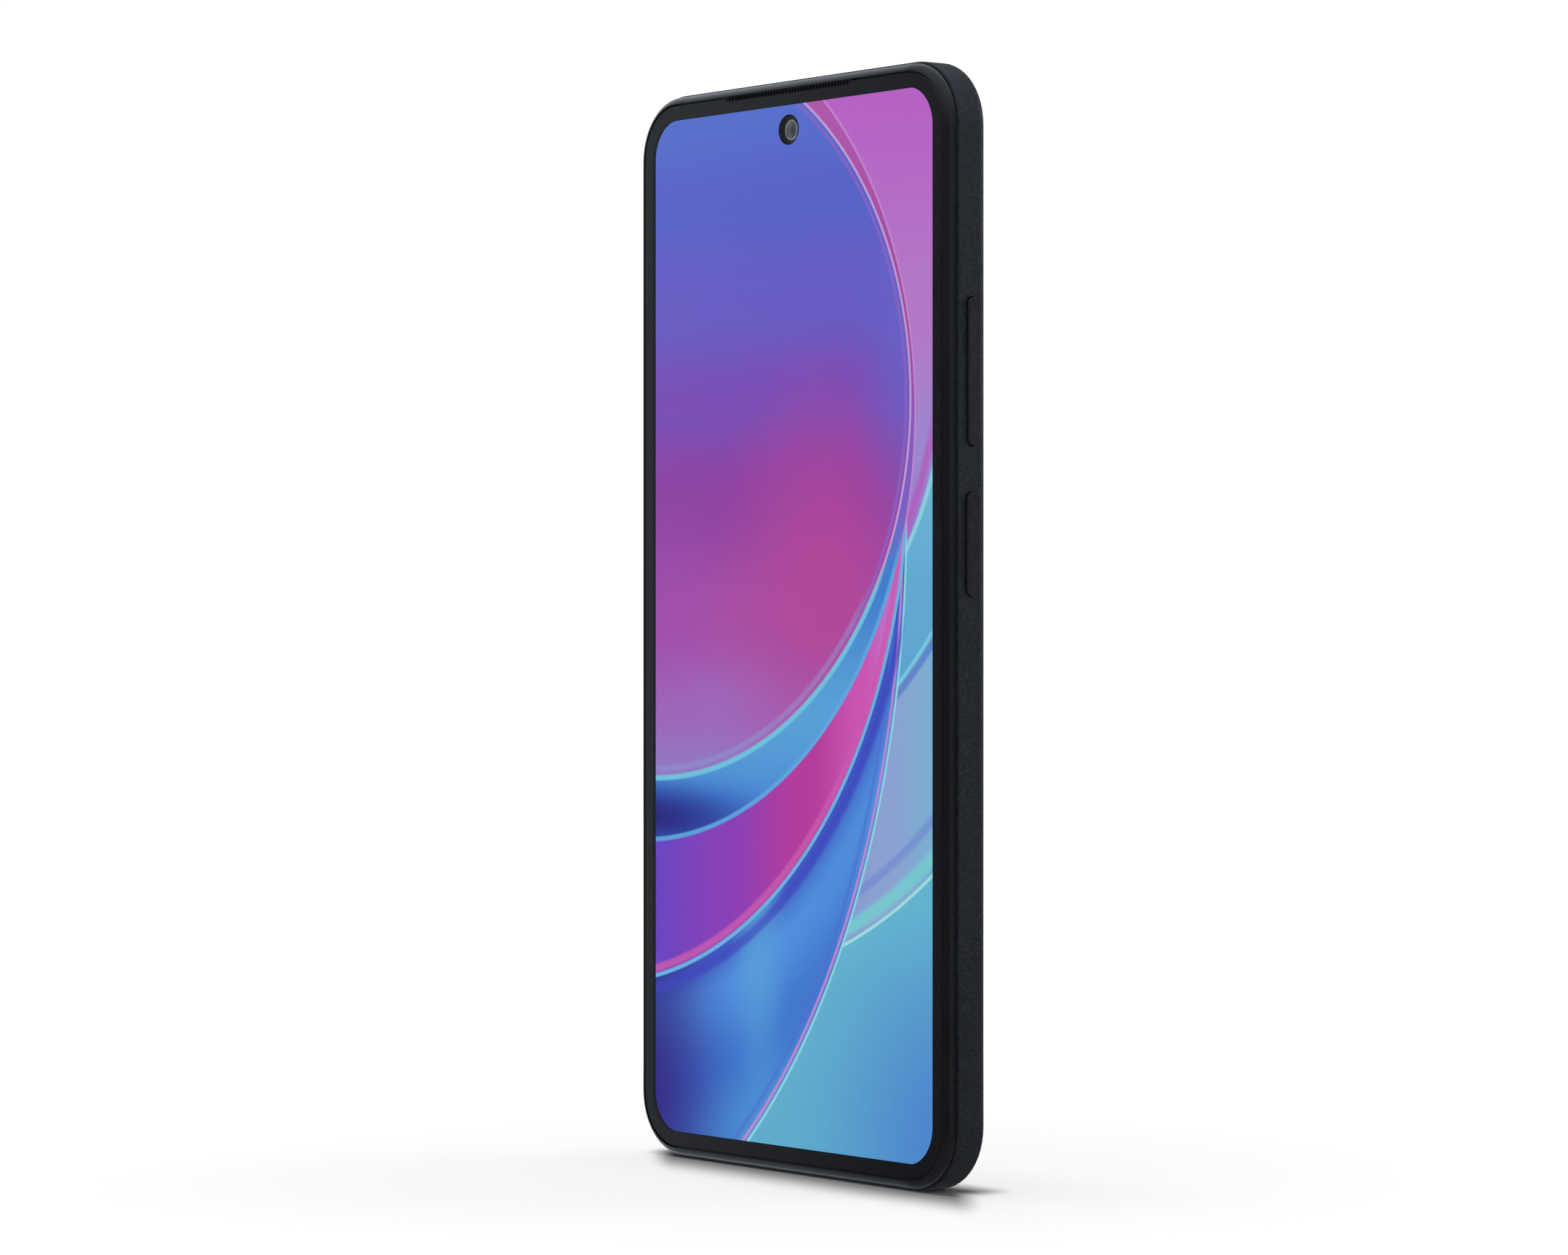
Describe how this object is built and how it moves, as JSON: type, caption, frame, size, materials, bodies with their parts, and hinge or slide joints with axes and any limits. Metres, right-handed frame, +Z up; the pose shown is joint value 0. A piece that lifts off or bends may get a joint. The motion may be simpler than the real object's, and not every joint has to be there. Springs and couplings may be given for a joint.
{
  "type": "smartphone",
  "caption": "Slim touchscreen phone with a flat glossy rim, matt body, pressing side keys and a sliding SIM tray.",
  "frame": {"origin": "middle of the bottom edge, halfway through the body's thickness", "axes": "+Z up the phone's long axis, the screen faces -Y, the side keys are on +X, the SIM tray is on -X"},
  "size_m": [0.0775, 0.0093, 0.1622],
  "materials": {
    "cover_glass": "polished",
    "clear_window": "polished",
    "rim_gloss_black": "gloss",
    "frame_matt_navy": "fine sprayed texture",
    "cover_matt_navy": "satin",
    "key_cap": "satin",
    "touch_sensor": "gloss",
    "camera_ring": "turned",
    "sheet_steel": "brushed",
    "cast_plate": "cast",
    "screen": "lit",
    "adhesive": "matt",
    "foam": "matt",
    "flex_print": "matt",
    "circuit_board": "satin",
    "chip": "matt",
    "battery_cell": "wrapped",
    "black_moulding": "matt",
    "seal_rubber": "matt",
    "card_plastic": "matt",
    "graphite": "satin",
    "copper_coil": "etched",
    "contact_gold": "plated",
    "tray_aluminium": "anodised"
  },
  "bodies": {
    "phone": {"cover_glass": "cover_glass", "glass_adhesive": "adhesive", "optical_adhesive": "clear_window", "display_panel": "screen", "display_foam": "foam", "display_flex": "flex_print", "front_rim": "rim_gloss_black", "earpiece_grille": "sheet_steel", "earpiece": "black_moulding", "proximity_sensor": "chip", "front_camera": "black_moulding", "front_camera_ring": "camera_ring", "mid_frame": "frame_matt_navy", "mid_plate": "cast_plate", "rear_cover": "cover_matt_navy", "cover_adhesive": "adhesive", "graphite_sheet": "graphite", "contactless_antenna": "copper_coil", "main_camera": "black_moulding", "main_camera_ring": "camera_ring", "main_camera_window": "clear_window", "second_camera": "black_moulding", "second_camera_ring": "camera_ring", "second_camera_window": "clear_window", "flash_led": "card_plastic", "flash_lens": "clear_window", "volume_key_pin": "sheet_steel", "key_domes": "sheet_steel", "side_key_flex": "flex_print", "key_bracket": "sheet_steel", "sim_reader": "sheet_steel", "eject_pivot": "sheet_steel", "main_board": "circuit_board", "shield_cans": "sheet_steel", "board_chips": "chip", "antenna_carrier": "black_moulding", "microphones": "sheet_steel", "battery": "battery_cell", "battery_adhesive": "adhesive", "battery_flex": "flex_print", "main_flex": "flex_print", "antenna_cable": "black_moulding", "sub_board": "circuit_board", "lower_cover": "black_moulding", "usb_socket": "sheet_steel", "usb_tongue": "contact_gold", "headphone_jack": "black_moulding", "loudspeaker_box": "black_moulding", "loudspeaker": "black_moulding", "speaker_mesh": "sheet_steel", "vibration_motor": "sheet_steel", "screws": "sheet_steel"},
    "power_key": {"power_key": "key_cap", "fingerprint_sensor": "touch_sensor"},
    "volume_key": {"volume_key": "key_cap"},
    "sim_tray": {"sim_tray": "tray_aluminium", "sim_tray_seal": "seal_rubber", "sim_cards": "card_plastic"},
    "eject_rod": {"eject_rod": "sheet_steel"},
    "eject_lever": {"eject_lever": "sheet_steel"}
  },
  "joints": [
    {"name": "power_key_press", "type": "slide", "parent": "phone", "child": "power_key", "axis": [-1, 0, 0], "range_m": [0, 0.00025], "stiffness_N_per_m": 2000},
    {"name": "volume_key_rock", "type": "hinge", "parent": "phone", "child": "volume_key", "pos_m": [0.0357, 0.0004, 0.11735], "axis": [0, 1, 0], "range_deg": [-1, 1], "stiffness_Nm_per_rad": 0.5},
    {"name": "sim_tray_slide", "type": "slide", "parent": "phone", "child": "sim_tray", "axis": [-1, 0, 0], "range_m": [0, 0.03]},
    {"name": "eject_rod_push", "type": "slide", "parent": "phone", "child": "eject_rod", "axis": [1, 0, 0], "range_m": [0, 0.001]},
    {"name": "eject_lever_turn", "type": "hinge", "parent": "phone", "child": "eject_lever", "pos_m": [-0.0093, 0.00005, 0.126], "axis": [0, 1, 0], "range_deg": [0, 14.8]}
  ],
  "couplings": [
    {"joint": "eject_lever_turn", "follows": "eject_rod_push", "rad_per_m": 256.4}
  ]
}
